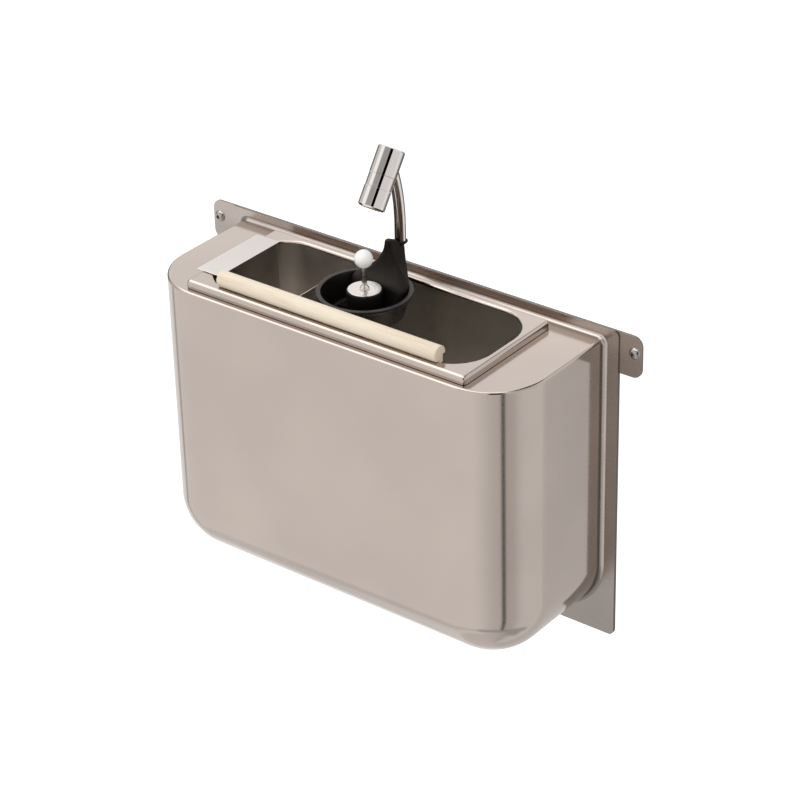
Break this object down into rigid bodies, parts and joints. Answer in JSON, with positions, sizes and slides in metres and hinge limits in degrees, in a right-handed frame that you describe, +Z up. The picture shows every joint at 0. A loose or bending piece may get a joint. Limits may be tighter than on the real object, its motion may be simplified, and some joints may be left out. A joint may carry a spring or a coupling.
{
  "type": "dipper well",
  "caption": "Wall-hung dipper well for rinsing ice-cream scoops, with a drop-in pan, a press valve in a rinse bowl, a swing spray spout, a lift-out scoop tray and a wooden tapping bar.",
  "frame": {"origin": "on the wall, midway between the two wall screws", "axes": "+X along the wall to the right as seen from the room, +Y into the wall, +Z up"},
  "size_m": [0.506, 0.161, 0.4688],
  "materials": {
    "casing": "satin",
    "screws": "bright zinc",
    "pan": "fine satin",
    "bar": "bare, sanded",
    "bowl": "matt",
    "chrome": "polished",
    "ball": "polished",
    "brass": "turned",
    "stem": "turned",
    "rubber": "matt",
    "spray": "moulded",
    "drain": "moulded"
  },
  "bodies": {
    "well": {"casing_shell": "casing", "deck_plate": "casing", "wall_flange": "casing", "mounting_rail": "casing", "wall_screws": "screws", "pan": "pan", "rinse_bowl": "bowl", "tower_collar": "bowl", "turret": "bowl", "valve_cartridge": "brass", "stem_seal": "rubber", "water_column": "pan", "column_gasket": "rubber", "column_nut": "brass", "spout_seal": "rubber", "drain_body": "pan", "drain_gasket": "rubber", "drain_nut": "drain", "drain_tail": "drain"},
    "spout": {"spout_pivot": "brass", "spout_tube": "chrome", "spout_clip": "brass", "head_body": "chrome", "head_core": "brass", "core_seal": "rubber", "nozzle_housing": "chrome", "spray_plate": "spray"},
    "flow_ring": {"flow_ring": "chrome"},
    "press_knob": {"press_disc": "chrome", "press_post": "chrome", "ball_knob": "ball", "valve_stem": "stem", "poppet_washer": "rubber", "return_spring": "stem"},
    "tray": {"scoop_tray": "pan"},
    "bar": {"tapping_bar": "bar"},
    "strainer": {"drain_strainer": "pan"}
  },
  "joints": [
    {"name": "spout_swivel", "type": "hinge", "parent": "well", "child": "spout", "pos_m": [0, -0.026, 0.055], "axis": [0, 0, 1], "range_deg": [-90, 90]},
    {"name": "flow_ring_turn", "type": "hinge", "parent": "spout", "child": "flow_ring", "pos_m": [0, -0.05146, 0.12624], "axis": [0, 0.5793, 0.8151], "range_deg": [0, 90]},
    {"name": "press_stroke", "type": "slide", "parent": "well", "child": "press_knob", "axis": [0, 0, -1], "range_m": [0, 0.0055], "stiffness_N_per_m": 800, "springref_m": -0.004, "deforming": ["return_spring"]},
    {"name": "tray_lift", "type": "slide", "parent": "well", "child": "tray", "axis": [0, 0, 1], "range_m": [0, 0.1]},
    {"name": "bar_lift", "type": "slide", "parent": "well", "child": "bar", "axis": [0, 0, 1], "range_m": [0, 0.06]},
    {"name": "strainer_lift", "type": "slide", "parent": "well", "child": "strainer", "axis": [0, 0, 1], "range_m": [0, 0.16]}
  ]
}
